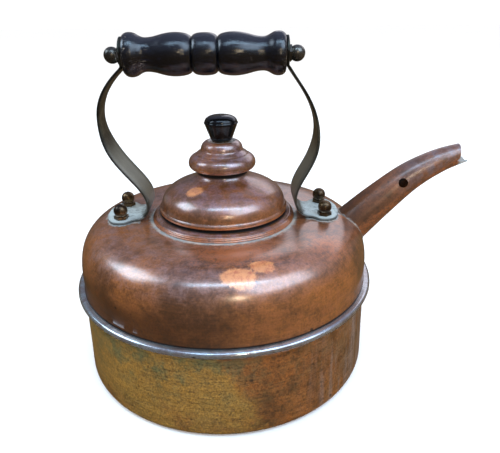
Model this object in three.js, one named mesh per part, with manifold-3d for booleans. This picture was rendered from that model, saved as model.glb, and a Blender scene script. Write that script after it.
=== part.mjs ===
// A stovetop whistling kettle of aged copper with a turned wooden grip and a lift-off lid.
// Millimetres, +Z up, spout towards +X. The origin is the centre of the flat base.
import * as THREE from 'three';
import { mergeVertices } from 'three/addons/utils/BufferGeometryUtils.js';
import Module from 'manifold-3d';

const wasm = await Module();
wasm.setup();

// Driving dimensions.
const gap = 0.3; // air left between pieces that touch
const sheet = 0.9; // thickness of the copper sheet
const smooth = { big: 48, middle: 36, small: 20 }; // facets around round pieces

const pan = { baseRadius: 102.9, middleRadius: 102.1, topRadius: 101.2, corner: 5.5, top: 63.2 };
const seam = { flangeRadius: 103.2, beadRadius: 105.6, bottom: 60.9, top: 65.3 };
const shell = { radius: 100.8, wallTop: 77.2, crown: 106.1, mouthRadius: 43.9 };
const collar = { footRadius: 49.9, topRadius: 49.2, step: 109.1, neckRadius: 43.5, lip: 112.0, bore: 42.2 };

const rim = { radius: 44.8, bottom: collar.lip + gap, thickness: 3.1 };
const lidNeck = { radius: 16.9, top: 140.0 };
const crown = { radius: 22.9, widest: 144.5, domeRadius: 14.2, brow: 159.5, top: 158.8 };
const knob = { footRadius: 7.0, radius: 11.4, widest: 171.6, top: 176.7 };
const washer = { radius: 6.2, thickness: 0.5 };

const rodHeight = 214.2;
const grip = { halfLength: 50.6, centre: -8.5, bore: 2.6 };
const strap = { thickness: 1.6, plateZ: 108.45, innerX: 50.6, bellyX: 70.8, bellyZ: 169, plateEnd: 80.9 };
// The grip sits behind the middle, and the straps sway further back below it.
const leanBack = { top: 8.5, sway: 5.6 };
const stud = { x: 70.0, y: 12.8, radius: 2.0 };
const plateTop = strap.plateZ + strap.thickness / 2;

const spoutEnd = { upperLip: 162.4, split: 143.6 };
const spoutTaper = { root: 28.6, loss: 15.0, power: 1.22 };

// Materials.
function finish(color, metalness, roughness) {
  return new THREE.MeshStandardMaterial({ color, metalness, roughness });
}
const copper = finish(0x84492c, 0.9, 0.42);
const brass = finish(0x8a7a45, 0.9, 0.4);
const steel = finish(0x7c7a74, 0.9, 0.45);
const ebonised = finish(0x16161c, 0.0, 0.35);
const lacquer = finish(0x08080a, 0.0, 0.15);
const fibre = finish(0x8c8678, 0.0, 0.8);

// A geometry with shared corners and no empty triangles.
function weld(geometry) {
  const bare = geometry.clone();
  bare.deleteAttribute('normal');
  bare.deleteAttribute('uv');
  const merged = mergeVertices(bare, 1e-4);
  const kept = [];
  for (let i = 0; i < merged.index.count; i += 3) {
    const [a, b, c] = [merged.index.getX(i), merged.index.getX(i + 1), merged.index.getX(i + 2)];
    if (a !== b && b !== c && c !== a) kept.push(a, b, c);
  }
  merged.setIndex(kept);
  return merged;
}

function solid(geometry) {
  const welded = weld(geometry);
  return new wasm.Manifold(new wasm.Mesh({
    numProp: 3,
    vertProperties: new Float32Array(welded.attributes.position.array),
    triVerts: new Uint32Array(welded.index.array),
  }));
}

function skin(body) {
  const mesh = body.getMesh();
  const geometry = new THREE.BufferGeometry();
  geometry.setAttribute('position', new THREE.BufferAttribute(new Float32Array(mesh.vertProperties), 3));
  geometry.setIndex(Array.from(mesh.triVerts));
  return geometry;
}

function piece(name, geometry, material) {
  const welded = weld(geometry);
  welded.computeVertexNormals();
  const mesh = new THREE.Mesh(welded, material);
  mesh.name = name;
  return mesh;
}

// Turned shapes: [radius, height] outlines that run anticlockwise, spun about Z.
function turned(outline, facets) {
  const points = outline.map(([r, z]) => new THREE.Vector2(r, z));
  const onAxis = outline[0][0] === 0 && outline[outline.length - 1][0] === 0;
  if (!onAxis) points.push(points[0].clone());
  return new THREE.LatheGeometry(points, facets).rotateX(Math.PI / 2);
}

// The closed outline of a sheet whose outer face is the given line and whose metal lies on its left.
function sheetOutline(line, thickness) {
  const inner = line.map((point, i) => {
    const before = line[Math.max(i - 1, 0)];
    const after = line[Math.min(i + 1, line.length - 1)];
    const into = direction(before, point);
    const out = direction(point, after);
    const a = into ?? out;
    const b = out ?? into;
    const nx = -(a[1] + b[1]);
    const nz = a[0] + b[0];
    const scale = (2 * thickness) / (nx * nx + nz * nz);
    return [Math.max(point[0] + nx * scale, 0), point[1] + nz * scale];
  });
  return [...line, ...inner.reverse()];
}

function direction(from, to) {
  const dx = to[0] - from[0];
  const dz = to[1] - from[1];
  const length = Math.hypot(dx, dz);
  return length > 0 ? [dx / length, dz / length] : null;
}

function arc(centre, radius, from, to, steps) {
  return Array.from({ length: steps + 1 }, (_, i) => {
    const angle = THREE.MathUtils.degToRad(from + ((to - from) * i) / steps);
    return [centre[0] + radius * Math.cos(angle), centre[1] + radius * Math.sin(angle)];
  });
}

function bezier(p0, p1, p2, p3, steps) {
  const curve = new THREE.CubicBezierCurve(...[p0, p1, p2, p3].map(([x, y]) => new THREE.Vector2(x, y)));
  return curve.getPoints(steps).map((p) => [p.x, p.y]);
}

function rod(radius, bottom, top, facets = smooth.small) {
  return new THREE.CylinderGeometry(radius, radius, top - bottom, facets)
    .rotateX(Math.PI / 2)
    .translate(0, 0, (top + bottom) / 2);
}

function ring(outer, bore, bottom, top, facets = smooth.small) {
  return turned([[bore, bottom], [outer, bottom], [outer, top], [bore, top]], facets);
}

// A skin over a row of rings with equal numbers of corners, closed flat at both ends.
function loft(rings) {
  const count = rings[0].length;
  const index = [];
  for (let i = 0; i < rings.length - 1; i += 1) {
    for (let j = 0; j < count; j += 1) {
      const a = i * count + j;
      const b = i * count + ((j + 1) % count);
      index.push(a, b, b + count, a, b + count, a + count);
    }
  }
  const last = (rings.length - 1) * count;
  for (let j = 1; j < count - 1; j += 1) {
    index.push(0, j + 1, j, last, last + j, last + j + 1);
  }
  const geometry = new THREE.BufferGeometry();
  const numbers = rings.flat().flatMap((p) => p.toArray());
  geometry.setAttribute('position', new THREE.Float32BufferAttribute(numbers, 3));
  geometry.setIndex(index);
  return geometry;
}

// A frame that travels along a line in the XZ plane: down is across the travel, side is +Y.
function station(centre, travel) {
  const side = new THREE.Vector3(0, 1, 0);
  const down = new THREE.Vector3().crossVectors(side, travel);
  return (a, b) => new THREE.Vector3().copy(centre).addScaledVector(down, a).addScaledVector(side, b);
}

// Body of the kettle.
function shellLine() {
  const { radius, wallTop } = shell;
  const shoulder = bezier([radius, wallTop], [radius, 118.5], [63.4, 105.1], [50, shell.crown], 9);
  return [[shell.radius, seam.top - 0.6], ...shoulder, [shell.mouthRadius, shell.crown]];
}

function upperShell() {
  const flangeTop = pan.top + gap + sheet;
  const line = [[seam.flangeRadius, flangeTop], [shell.radius, flangeTop], ...shellLine().slice(1)];
  let body = solid(turned(sheetOutline(line, sheet), smooth.big));
  body = body.subtract(solid(spoutTube(spoutBoreRadius)));
  for (const [x, y] of studPlaces()) {
    body = body.subtract(solid(rod(stud.radius + gap, 95, 115, 16).translate(x, y, 0)));
  }
  return skin(body);
}

function lowerPan() {
  const corner = arc([pan.baseRadius - pan.corner, pan.corner], pan.corner, -90, 0, 5);
  const flangeBottom = pan.top - sheet;
  const line = [
    [0, 0], ...corner, [pan.middleRadius, 32], [pan.topRadius, flangeBottom],
    [seam.flangeRadius, flangeBottom],
  ];
  return turned(sheetOutline(line, sheet), smooth.big);
}

function seamBead() {
  const half = (seam.top - seam.bottom) / 2;
  const middle = (seam.top + seam.bottom) / 2;
  const slot = 3 * gap + 2 * sheet;
  const slotBottom = pan.top - sheet - gap;
  const outside = arc([seam.beadRadius - half, middle], half, -90, 90, 8);
  return turned([
    [pan.topRadius + gap, seam.bottom], ...outside, [shell.radius + gap, seam.top],
    [shell.radius + gap, slotBottom + slot], [seam.flangeRadius + gap, slotBottom + slot],
    [seam.flangeRadius + gap, slotBottom], [pan.topRadius + gap, slotBottom],
  ], smooth.big);
}

function lidCollar() {
  const foot = shell.crown + gap;
  return turned([
    [collar.bore, 101.5], [collar.bore + 1.2, 101.5], [collar.bore + 1.2, foot], [collar.footRadius, foot],
    [collar.topRadius, collar.step - 0.4], [collar.topRadius - 2.2, collar.step + 0.8],
    [collar.neckRadius, collar.step + 1.4], [collar.neckRadius, collar.lip], [collar.bore, collar.lip],
  ], smooth.big);
}

// Spout: a tapering tube that rises from the shoulder and levels out to a beak.
const spoutPath = new THREE.CatmullRomCurve3([
  [80, 84.5], [95.4, 100.1], [110.8, 114.8], [130.9, 131.9], [150.1, 142.7], [166.6, 148.4],
].map(([x, z]) => new THREE.Vector3(x, 0, z)));

function spoutRadius(t) {
  return (spoutTaper.root - spoutTaper.loss * t ** spoutTaper.power) / 2;
}

function spoutBoreRadius(t) {
  return spoutRadius(t) - sheet;
}

function spoutTube(radiusAt) {
  const steps = 12;
  const rings = Array.from({ length: steps + 1 }, (_, i) => {
    const t = i / steps;
    const place = station(spoutPath.getPointAt(t), spoutPath.getTangentAt(t));
    const radius = radiusAt(t);
    return Array.from({ length: smooth.small }, (__, j) => {
      const angle = (2 * Math.PI * j) / smooth.small;
      return place(radius * Math.cos(angle), radius * Math.sin(angle));
    });
  });
  return loft(rings);
}

function spoutOuter() {
  return spoutTube(spoutRadius);
}

// The bore runs on past both ends, so that it opens the tube.
function spoutBore() {
  const ends = [0, 1].map((t) => {
    const centre = spoutPath.getPointAt(t);
    const travel = spoutPath.getTangentAt(t);
    const reach = t === 0 ? -2 : 2;
    const end = centre.clone().addScaledVector(travel, reach);
    return { centre: end, place: travel, radius: spoutBoreRadius(t) };
  });
  const tip = ends[1];
  const across = station(tip.centre, tip.place);
  const extra = [0, 1].map((k) => Array.from({ length: smooth.small }, (_, j) => {
    const angle = (2 * Math.PI * j) / smooth.small;
    const p = across(tip.radius * Math.cos(angle), tip.radius * Math.sin(angle));
    return k === 0 ? p.addScaledVector(tip.place, -3) : p;
  }));
  return solid(spoutTube(spoutBoreRadius)).add(solid(loft(extra)));
}

// Everything between the two lips of the beak, as seen from the side.
function beakCut() {
  const outline = new THREE.Shape([
    [spoutEnd.upperLip, 165], [spoutEnd.upperLip, 154.2], [spoutEnd.upperLip - 0.8, 146.1],
    [spoutEnd.upperLip - 3.3, spoutEnd.split], [182, spoutEnd.split], [182, 165],
  ].map(([x, z]) => new THREE.Vector2(x, z)));
  return new THREE.ExtrudeGeometry(outline, { depth: 40, bevelEnabled: false })
    .rotateX(Math.PI / 2)
    .translate(0, 20, 0);
}

function shellInside() {
  const line = shellLine().map(([r, z]) => [r + gap, z + gap]);
  return turned([[0, 20], [shell.radius + gap, 20], ...line, [0, shell.crown + gap]], smooth.big);
}

function spout() {
  const soundHole = rod(3.2, -20, 20, 16).rotateX(Math.PI / 2).translate(123.8, 0, 130.0);
  return skin(solid(spoutOuter())
    .subtract(spoutBore())
    .subtract(solid(shellInside()))
    .subtract(solid(beakCut()))
    .subtract(solid(soundHole)));
}

// One whistle plate: a disc across the bore with a central blow hole and a pouring gap below.
function whistlePlate(t, material, name) {
  const radius = spoutBoreRadius(t) - gap;
  const shape = new THREE.Shape().absarc(0, 0, radius, Math.PI * 1.72, Math.PI * 1.28, false);
  shape.closePath();
  shape.holes.push(new THREE.Path().absarc(0, 1, 2.2, 0, Math.PI * 2, true));
  const plate = new THREE.ExtrudeGeometry(shape, { depth: 0.8, bevelEnabled: false, curveSegments: 12 });
  const mesh = piece(name, plate.rotateX(Math.PI / 2).rotateZ(Math.PI / 2), material);
  const travel = spoutPath.getTangentAt(t);
  mesh.position.copy(spoutPath.getPointAt(t));
  mesh.rotation.y = -Math.atan2(travel.z, travel.x);
  return mesh;
}

// Handle: two bowed straps, a turned grip and the rod that clamps them.
function lean(z) {
  const rise = THREE.MathUtils.clamp((z - 112) / 94, 0, 1);
  return -leanBack.top * rise - leanBack.sway * rise ** 2 * (1 - rise ** 6);
}

function strapLine() {
  const tabX = grip.halfLength + gap + strap.thickness / 2;
  const bend = strap.innerX + (118 - strap.plateZ);
  const tab = [[tabX, 225], [tabX, 224], [tabX, 222], [tabX, 219], [tabX, 214], [tabX, 207.5]];
  const belly = [strap.bellyX, strap.bellyZ];
  const bow = bezier([tabX, 207.5], [60.2, 197.8], [strap.bellyX, 186.6], belly, 9).slice(1);
  const tuck = bezier(belly, [strap.bellyX, 144], [49.3, 133], [strap.innerX, 118], 9).slice(1);
  const turn = arc([bend, 118], 118 - strap.plateZ, 180, 270, 6).slice(1);
  const plate = [62.5, 66, 71, 75, 78, 80.1, strap.plateEnd].map((x) => [x, strap.plateZ]);
  return [...tab, ...bow, ...tuck, ...turn, ...plate];
}

// Half the width of a strap: a round tab on top, narrow bow, broad rounded foot.
function strapHalfWidth([x, z]) {
  if (z > 214) return Math.sqrt(Math.max(10.8 ** 2 - (z - rodHeight) ** 2, 9));
  if (z > strap.plateZ + 0.01) return 14 - 5.4 * THREE.MathUtils.smoothstep(z, 150, 178);
  const out = THREE.MathUtils.clamp((x - 60) / 8, 0, 1);
  const end = THREE.MathUtils.clamp((x - 71) / (strap.plateEnd - 71), 0, 1);
  return (14 + 6.5 * THREE.MathUtils.smoothstep(out, 0, 1)) * Math.sqrt(1 - 0.75 * end ** 3);
}

function strapSolid(sign) {
  const line = strapLine();
  const centres = line.map(([x, z]) => new THREE.Vector3(sign * x + lean(z), 0, z));
  const rings = centres.map((centre, i) => {
    const ahead = centres[Math.min(i + 1, centres.length - 1)];
    const behind = centres[Math.max(i - 1, 0)];
    const place = station(centre, new THREE.Vector3().subVectors(ahead, behind).normalize());
    const half = strap.thickness / 2;
    const width = strapHalfWidth(line[i]);
    return [place(half, width), place(-half, width), place(-half, -width), place(half, -width)];
  });
  let body = solid(loft(rings));
  const rodHole = rod(2.5, -90, 90, 16).rotateY(Math.PI / 2).translate(0, 0, rodHeight);
  body = body.subtract(solid(rodHole));
  for (const y of [-stud.y, stud.y]) {
    body = body.subtract(solid(rod(stud.radius + gap, 100, 114, 16).translate(sign * stud.x, y, 0)));
  }
  return skin(body);
}

function gripOutline() {
  const quarter = [
    ...bezier([12.7, 0], [12.7, 4.0], [12.0, 7.2], [10.2, 8.1], 4),
    ...bezier([10.2, 8.1], [13.1, 9.6], [13.6, 18], [12.7, 23], 5).slice(1),
    ...bezier([12.7, 23], [12.0, 28.5], [10.2, 31], [10.2, 36.6], 4).slice(1),
    ...bezier([10.2, 36.6], [10.2, 40.8], [13.3, 41.6], [13.3, 46.2], 4).slice(1),
    [12.9, 49.2], [11.4, grip.halfLength],
  ];
  const mirrored = quarter.slice(1).map(([r, x]) => [r, -x]).reverse();
  return [[grip.bore, -grip.halfLength], ...mirrored, ...quarter, [grip.bore, grip.halfLength]];
}

// A domed nut: hex foot, then a ball, with a blind bore from below. It stands on z = 0.
function ballNut(hex, foot, ball, bore) {
  const base = new THREE.CylinderGeometry(hex / Math.sqrt(3), hex / Math.sqrt(3), foot, 6)
    .rotateX(Math.PI / 2)
    .translate(0, 0, foot / 2);
  const lift = foot + ball * 0.68;
  const round = turned([[0, lift - ball], ...arc([0, lift], ball, -72, 72, 6), [0, lift + ball]], 16);
  const hole = rod(bore, -1, lift + ball * 0.3, 12);
  return skin(solid(base).add(solid(round)).subtract(solid(hole)));
}

function studPlaces() {
  return [[-stud.x, -stud.y], [-stud.x, stud.y], [stud.x, -stud.y], [stud.x, stud.y]];
}

// Stud with a low cheese head inside the shell; its shank reaches up into the ball nut.
function studScrew() {
  const shank = [[4.2, 101.9], [4.2, 104.1], [stud.radius, 104.1], [stud.radius, plateTop + gap + 6.2]];
  return turned([[0, 101.9], ...shank, [0, plateTop + gap + 6.2]], 16);
}

// Lid.
function lidDome() {
  const edge = rim.bottom;
  const line = [
    [rim.radius - 2.4, edge], [rim.radius - 0.7, edge], [rim.radius, edge + 0.8], [rim.radius, edge + 2.2],
    [rim.radius - 0.8, edge + rim.thickness], [43.3, edge + 3.7],
    ...bezier([43.1, edge + 4.4], [42.2, 127.5], [30.5, 130.5], [22, 133.4], 6).slice(1),
    [19.0, 134.9], [17.5, 136.9], [lidNeck.radius, 138.8], [lidNeck.radius, lidNeck.top],
  ];
  return turned(sheetOutline(line, sheet), smooth.middle);
}

function lidSkirt() {
  return ring(collar.bore - 0.4, collar.bore - 0.4 - sheet, 101, 115, smooth.middle);
}

function lidCrown() {
  const line = [
    [lidNeck.radius, lidNeck.top + gap], [19.4, lidNeck.top + 0.6], [21.8, 142.0],
    [crown.radius, crown.widest], [22.3, 147.2], [20.4, 149.4], [17.7, 150.6], [17.4, 151.4],
    [14.8, 153.2], [crown.domeRadius, 153.8],
    ...bezier([crown.domeRadius, 153.8], [13.9, 157.4], [12.0, crown.brow], [9.2, crown.brow], 4).slice(1),
    [8.0, crown.top], [2.3, crown.top],
  ];
  return turned(sheetOutline(line, sheet), smooth.middle);
}

function knobBody() {
  const foot = crown.top + gap + washer.thickness + gap;
  return turned([
    [0, 170.2], [2.3, 170.2], [2.3, foot], [knob.footRadius, foot], [7.5, foot + 1.0],
    ...bezier([8.2, foot + 3.2], [9.3, 166.5], [10.4, 169.2], [11.1, 170.9], 3),
    [knob.radius, knob.widest], ...bezier([11.1, 172.5], [10.0, 175.2], [6.6, 176.6], [0, knob.top], 5),
  ], smooth.small);
}

function knobScrew() {
  const headTop = crown.top - sheet - gap;
  const tip = 169.8;
  const head = [[0, headTop - 2.4], [3.8, headTop - 2.4], [3.8, headTop], [2, headTop]];
  return turned([...head, [2, tip], [0, tip]], 16);
}

// Assembly.
function placed(mesh, x, y, z) {
  mesh.position.set(x, y, z);
  return mesh;
}

function addHandle(kettle) {
  kettle.add(piece('strap_rear', strapSolid(-1), brass));
  kettle.add(piece('strap_front', strapSolid(1), brass));
  const turnedGrip = turned(gripOutline(), smooth.small).rotateY(Math.PI / 2);
  kettle.add(placed(piece('grip', turnedGrip, ebonised), grip.centre, 0, rodHeight));
  const nutStand = grip.halfLength + 2 * gap + strap.thickness;
  const reach = nutStand + 5.4;
  const handleRod = rod(2.2, -reach, reach, 16).rotateY(Math.PI / 2);
  kettle.add(placed(piece('handle_rod', handleRod, steel), grip.centre, 0, rodHeight));
  for (const [name, sign] of [['rear', -1], ['front', 1]]) {
    const nut = ballNut(9.6, 1.8, 5.1, 2.5).rotateY((sign * Math.PI) / 2);
    const mesh = piece(`handle_nut_${name}`, nut, brass);
    kettle.add(placed(mesh, grip.centre + sign * nutStand, 0, rodHeight));
  }
}

function addFeet(kettle) {
  const names = ['rear_left', 'rear_right', 'front_left', 'front_right'];
  studPlaces().forEach(([x, y], i) => {
    kettle.add(placed(piece(`stud_${names[i]}`, studScrew(), steel), x, y, 0));
    kettle.add(placed(piece(`seal_${names[i]}`, ring(5.4, 2.3, 104.4, 105.4, 16), fibre), x, y, 0));
    const nut = piece(`foot_nut_${names[i]}`, ballNut(8.6, 2.2, 4.65, 2.3), brass);
    kettle.add(placed(nut, x, y, plateTop + gap));
  });
}

function addLid(kettle) {
  const lid = new THREE.Group();
  lid.name = 'lid';
  const washerFoot = crown.top + gap;
  lid.add(piece('lid_dome', lidDome(), copper));
  lid.add(piece('lid_skirt', lidSkirt(), copper));
  lid.add(piece('lid_crown', lidCrown(), copper));
  lid.add(piece('knob_washer', ring(washer.radius, 2.3, washerFoot, washerFoot + washer.thickness), brass));
  lid.add(piece('knob', knobBody(), lacquer));
  lid.add(piece('knob_screw', knobScrew(), steel));
  kettle.add(lid);
}

const kettle = new THREE.Group();
kettle.name = 'whistling_kettle';
kettle.add(piece('upper_shell', upperShell(), copper));
kettle.add(piece('lower_pan', lowerPan(), copper));
kettle.add(piece('seam_bead', seamBead(), copper));
kettle.add(piece('lid_collar', lidCollar(), copper));
kettle.add(piece('spout', spout(), copper));
kettle.add(whistlePlate(0.665, brass, 'whistle_plate_inner'));
kettle.add(whistlePlate(0.705, brass, 'whistle_plate_outer'));
addHandle(kettle);
addFeet(kettle);
addLid(kettle);

export default kettle;
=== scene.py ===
"""Looks for a stovetop whistling kettle: aged copper, bowed straps and a turned black grip."""
import bpy
import bmesh
import math
from mathutils import Matrix, Vector, noise


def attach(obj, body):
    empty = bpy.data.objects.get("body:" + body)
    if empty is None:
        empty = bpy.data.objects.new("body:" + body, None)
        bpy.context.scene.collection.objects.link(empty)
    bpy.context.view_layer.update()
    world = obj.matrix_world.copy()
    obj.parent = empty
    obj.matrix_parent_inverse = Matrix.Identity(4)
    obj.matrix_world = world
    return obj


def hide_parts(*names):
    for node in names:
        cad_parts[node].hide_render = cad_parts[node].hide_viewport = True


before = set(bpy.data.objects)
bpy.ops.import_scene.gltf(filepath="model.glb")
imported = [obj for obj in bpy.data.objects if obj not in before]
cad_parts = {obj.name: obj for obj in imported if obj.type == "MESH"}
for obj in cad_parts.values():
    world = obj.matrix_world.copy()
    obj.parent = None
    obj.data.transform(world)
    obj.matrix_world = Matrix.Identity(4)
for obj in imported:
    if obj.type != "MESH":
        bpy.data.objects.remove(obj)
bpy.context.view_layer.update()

MM = 0.001

# ---------------------------------------------------------------- outlines, in millimetres

SHELL_RADIUS = 100.8
SHELL_TOP = 106.1
ROD_Z = 214.2
GRIP_X = -8.5
GRIP_HALF = 50.6
STRAP_THICK = 1.6
PLATE_Z = 108.45
STUD_X, STUD_Y = 70.0, 12.8
FOOT_START, FOOT_END = 59, 80.9  # how far out a strap's foot begins and ends
COLLAR_REACH = 50.4  # where the shoulder comes out from under the collar
SEAM_MIDDLE, SEAM_ROLL = 63.1, 2.2
SOUND_HOLE_X, SOUND_HOLE_Z, SOUND_HOLE_RADIUS = 123.8, 130.0, 3.2
LID_EDGE = 112.2
SHEET = 0.9  # the thickness of the shell, the pan and the spout
LID_SHEET = 0.85
NO_BARE_PATCH = -20.0
LIGHT_DISTANCE = 1.6  # metres


def lerp(a, b, t):
    """A straight blend from a to b."""
    return a + (b - a) * t


def clamp(value, low=0.0, high=1.0):
    return max(low, min(high, value))


def ease(value):
    """0 below 0, 1 above 1, smooth between."""
    value = clamp(value)
    return value * value * (3 - 2 * value)


def bezier(p0, p1, p2, p3, steps):
    """Points along a cubic curve between p0 and p3."""
    points = []
    for i in range(steps + 1):
        t = i / steps
        u = 1 - t
        weights = (u ** 3, 3 * u * u * t, 3 * u * t * t, t ** 3)
        weighted = list(zip(weights, (p0, p1, p2, p3)))
        points.append(tuple(sum(w * p[k] for w, p in weighted) for k in (0, 1)))
    return points


def arc(centre, radius, start, end, steps):
    """Points along a circle, from one angle to another, in degrees."""
    points = []
    for i in range(steps + 1):
        angle = math.radians(lerp(start, end, i / steps))
        points.append((centre[0] + radius * math.cos(angle), centre[1] + radius * math.sin(angle)))
    return points


def rounded(points, radius, steps=4):
    """The same open line with its inner corners rounded off."""
    line = [points[0]]
    for before, corner, after in zip(points, points[1:], points[2:]):
        a, c, b = Vector(before), Vector(corner), Vector(after)
        reach = min(radius, (a - c).length * 0.45, (b - c).length * 0.45)
        start = c + (a - c).normalized() * reach
        end = c + (b - c).normalized() * reach
        for i in range(steps + 1):
            t = i / steps
            line.append(tuple(start.lerp(c, t).lerp(c.lerp(end, t), t)))
    return line + [points[-1]]


def offset_line(line, thickness):
    """A sheet's inner face: the line moved to its left."""
    moved = []
    for i, point in enumerate(line):
        before, after = Vector(line[max(i - 1, 0)]), Vector(line[min(i + 1, len(line) - 1)])
        along = (after - before).normalized()
        moved.append((max(point[0] - along.y * thickness, 0.0), point[1] + along.x * thickness))
    return moved


def shell_line():
    """The shell's outer face, from the seam up the wall and over the shoulder to the mouth."""
    foot = [(SHELL_RADIUS, 64.0), (SHELL_RADIUS, 65.2), (SHELL_RADIUS + 0.5, 65.9)]
    wall = [(SHELL_RADIUS + 0.4, 66.6), (SHELL_RADIUS, 67.2), (SHELL_RADIUS, 73)]
    shoulder = bezier((SHELL_RADIUS, 77.2), (SHELL_RADIUS, 118.5), (63.4, 105.1), (50, SHELL_TOP), 84)
    return foot + wall + shoulder + [(47, SHELL_TOP), (43.9, SHELL_TOP)]


def pan_line():
    """The pan's outer face, from the middle of the base up to the seam."""
    corner = arc((97.4, 5.5), 5.5, -90, 0, 10)
    wall = [(102.75, 12), (102.4, 22), (102.1, 32), (101.8, 42), (101.4, 52), (101.3, 57.1)]
    step = [(101.55, 57.5), (101.95, 57.9), (102.0, 58.5), (101.6, 58.9), (101.2, 59.3), (101.2, 62.2)]
    return [(0, 0.0), (30, 0.0), (60, 0.0), (85, 0.0)] + corner + wall + step


def shell_height(radius):
    """The height of the shell's outer face at a radius beyond the mouth."""
    line = shell_line()
    for low, high in zip(line[6:], line[7:]):
        if high[0] <= radius <= low[0] and low[0] > high[0]:
            return lerp(low[1], high[1], (low[0] - radius) / (low[0] - high[0]))
    return SHELL_TOP if radius < 60 else 0.0


# ---------------------------------------------------------------- mesh making


def finish_piece(name, mesh, material, nodes, body, sharp=34):
    """Makes the mesh a piece that replaces CAD nodes, rides on a body and fills a material slot."""
    mesh.validate()
    mesh.set_sharp_from_angle(angle=math.radians(sharp))
    piece = bpy.data.objects.new(name, mesh)
    bpy.context.scene.collection.objects.link(piece)
    piece.data.materials.append(material)
    if nodes:
        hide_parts(*nodes)
    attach(piece, body)
    return piece


def mesh_from(name, vertices, faces):
    mesh = bpy.data.meshes.new(name)
    mesh.from_pydata(vertices, [], faces)
    mesh.polygons.foreach_set("use_smooth", [True] * len(mesh.polygons))
    return mesh


def grid_faces(rows, columns, closed_rows=False):
    """Quads over rings of points; each ring is closed, and closed_rows joins the last ring to the first."""
    faces = []
    for i in range(rows if closed_rows else rows - 1):
        low, high = i * columns, ((i + 1) % rows) * columns
        for j in range(columns):
            k = (j + 1) % columns
            faces.append((low + j, low + k, high + k, high + j))
    return faces


def fair(point, size, pitch, seed=0.0):
    """A smooth random number for a place, for dents and hand-made unevenness."""
    return size * noise.noise(Vector(point) / pitch + Vector((seed, seed, seed)))


def lathe(name, line, segments, uneven=None, axis="Z"):
    """An outline spun about Z or about X; uneven(radius, angle, height) pushes it out."""
    vertices = []
    on_axis = line[0][0] == 0 and line[-1][0] == 0
    for radius, height in line:
        for j in range(segments):
            angle = 2 * math.pi * j / segments
            push = uneven(radius, angle, height) if uneven and radius > 0 else 0.0
            x, y = (radius + push) * math.cos(angle), (radius + push) * math.sin(angle)
            place = (x, y, height) if axis == "Z" else (height, x, y)
            vertices.append(Vector(place) * MM)
    faces = grid_faces(len(line), segments, closed_rows=not on_axis)
    mesh = mesh_from(name, vertices, faces)
    if on_axis:
        work = bmesh.new()
        work.from_mesh(mesh)
        bmesh.ops.remove_doubles(work, verts=work.verts, dist=1e-7)
        bmesh.ops.dissolve_degenerate(work, edges=work.edges, dist=1e-8)
        work.to_mesh(mesh)
        work.free()
    return mesh


def set_field(mesh, name, rule):
    """Stores a number for each point of a mesh, from its place in millimetres."""
    field = mesh.attributes.new(name, "FLOAT", "POINT")
    for vertex, item in zip(mesh.vertices, field.data):
        item.value = rule(vertex.co / MM)


def station(centre, travel):
    """Places points across a line that travels in the XZ plane: a down from its centre and b sideways."""
    side = Vector((0, 1, 0))
    down = side.cross(travel)
    return lambda a, b: centre + down * a + side * b


# ---------------------------------------------------------------- node trees


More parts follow.
